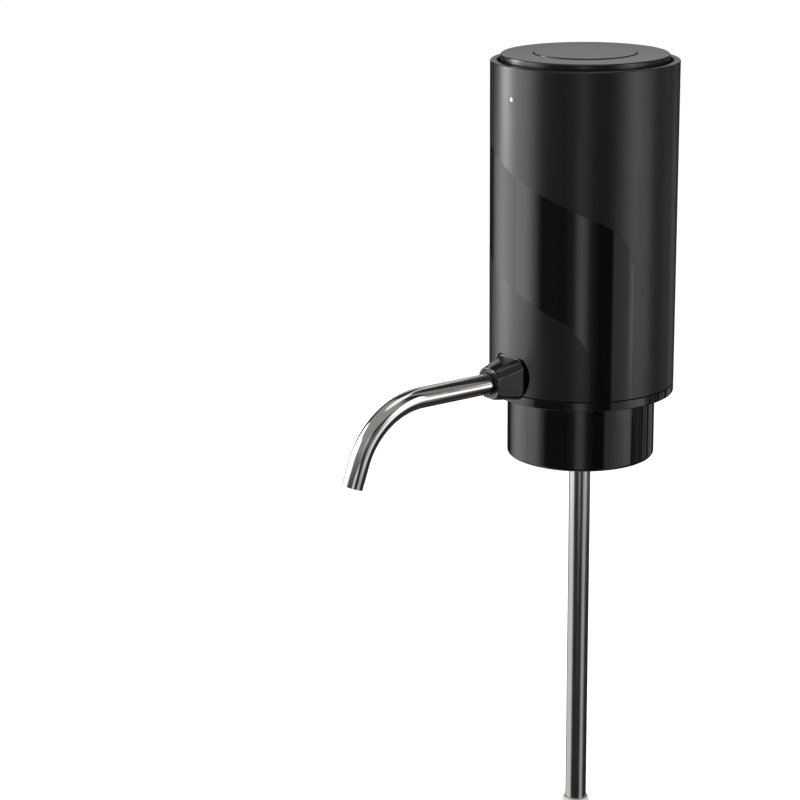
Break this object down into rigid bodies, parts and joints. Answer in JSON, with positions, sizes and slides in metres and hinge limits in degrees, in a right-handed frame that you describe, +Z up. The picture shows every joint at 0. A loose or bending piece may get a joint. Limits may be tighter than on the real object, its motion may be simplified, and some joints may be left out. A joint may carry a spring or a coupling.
{
  "type": "electric wine aerator",
  "caption": "Rechargeable aerator and pourer: round pump body on a neck collar and stopper, bent steel spout, and a telescoping suction tube below.",
  "frame": {"origin": "centre of the plane in which the stopper's shoulder bears on the neck's lip", "axes": "+Z up along the body, -Y towards the spout, +Y towards the charging socket"},
  "size_m": [0.06, 0.125, 0.3822],
  "materials": {
    "satin_black_abs": "satin",
    "gloss_black_abs": "gloss",
    "cap_abs": "satin",
    "black_silicone": "matte",
    "nitrile_rubber": "matte",
    "natural_pom": "satin",
    "drawn_steel": "satin",
    "polished_steel": "polished",
    "switch_nylon": "satin",
    "board_laminate": "satin",
    "tin_plate": "plated",
    "lens_acrylic": "clear",
    "light_package": "satin",
    "chassis_abs": "moulded",
    "cell_wrap": "shrink wrap",
    "pump_nylon": "moulded",
    "diaphragm_rubber": "matte",
    "motor_steel": "galvanised",
    "end_cap_nylon": "moulded",
    "hose_silicone": "translucent",
    "red_pvc": "satin",
    "black_pvc": "satin",
    "zinc_screw": "zinc plated"
  },
  "bodies": {
    "aerator": {"outer_shell": "satin_black_abs", "base_housing": "gloss_black_abs", "neck_collar": "gloss_black_abs", "neck_stopper": "black_silicone", "liquid_manifold": "natural_pom", "branch_o_ring": "nitrile_rubber", "suction_tube_upper": "drawn_steel", "tube_gland": "natural_pom", "spout_boss": "gloss_black_abs", "top_cap": "cap_abs", "touch_switch": "switch_nylon", "control_board": "board_laminate", "usb_socket": "tin_plate", "status_lens": "lens_acrylic", "status_light": "light_package", "chassis": "chassis_abs", "battery_cell": "cell_wrap", "pump_head": "pump_nylon", "valve_plate": "pump_nylon", "pump_diaphragm": "diaphragm_rubber", "wobble_plate": "natural_pom", "pump_crankcase": "pump_nylon", "motor_can": "motor_steel", "motor_end_cap": "end_cap_nylon", "air_hose": "hose_silicone", "motor_lead_red": "red_pvc", "motor_lead_black": "black_pvc", "battery_lead_red": "red_pvc", "battery_lead_black": "black_pvc", "base_screw_1": "zinc_screw", "base_screw_2": "zinc_screw", "base_screw_3": "zinc_screw", "boss_screw_1": "zinc_screw", "boss_screw_2": "zinc_screw", "manifold_screw_1": "zinc_screw", "manifold_screw_2": "zinc_screw", "board_screw_1": "zinc_screw", "board_screw_2": "zinc_screw", "board_screw_3": "zinc_screw", "board_screw_4": "zinc_screw", "pump_screw_1": "zinc_screw", "pump_screw_2": "zinc_screw", "pump_screw_3": "zinc_screw"},
    "button": {"power_button": "cap_abs"},
    "plunger": {"switch_plunger": "switch_nylon"},
    "drive": {"motor_shaft": "drawn_steel", "drive_eccentric": "natural_pom", "wobble_pin": "drawn_steel"},
    "sleeve": {"spout_sleeve": "black_silicone"},
    "spout": {"spout_tube": "polished_steel"},
    "suction": {"suction_tube_lower": "drawn_steel", "tube_foot": "natural_pom"}
  },
  "joints": [
    {"name": "button_press", "type": "slide", "parent": "aerator", "child": "button", "axis": [0, 0, -1], "range_m": [0, 0.0005], "stiffness_N_per_m": 1500, "springref_m": -0.0003},
    {"name": "plunger_press", "type": "slide", "parent": "aerator", "child": "plunger", "axis": [0, 0, -1], "range_m": [0, 0.0005]},
    {"name": "drive_spin", "type": "hinge", "parent": "aerator", "child": "drive", "pos_m": [-0.0118, 0, 0.05], "axis": [0, 0, 1], "continuous": true},
    {"name": "spout_swivel", "type": "hinge", "parent": "aerator", "child": "sleeve", "pos_m": [0, -0.035, 0.0114], "axis": [0, -1, 0], "continuous": true},
    {"name": "spout_pull", "type": "slide", "parent": "sleeve", "child": "spout", "axis": [0, -1, 0], "range_m": [0, 0.01]},
    {"name": "suction_telescope", "type": "slide", "parent": "aerator", "child": "suction", "axis": [0, 0, 1], "range_m": [0, 0.1]}
  ],
  "couplings": [
    {"joint": "plunger_press", "follows": "button_press", "ratio": 1}
  ]
}
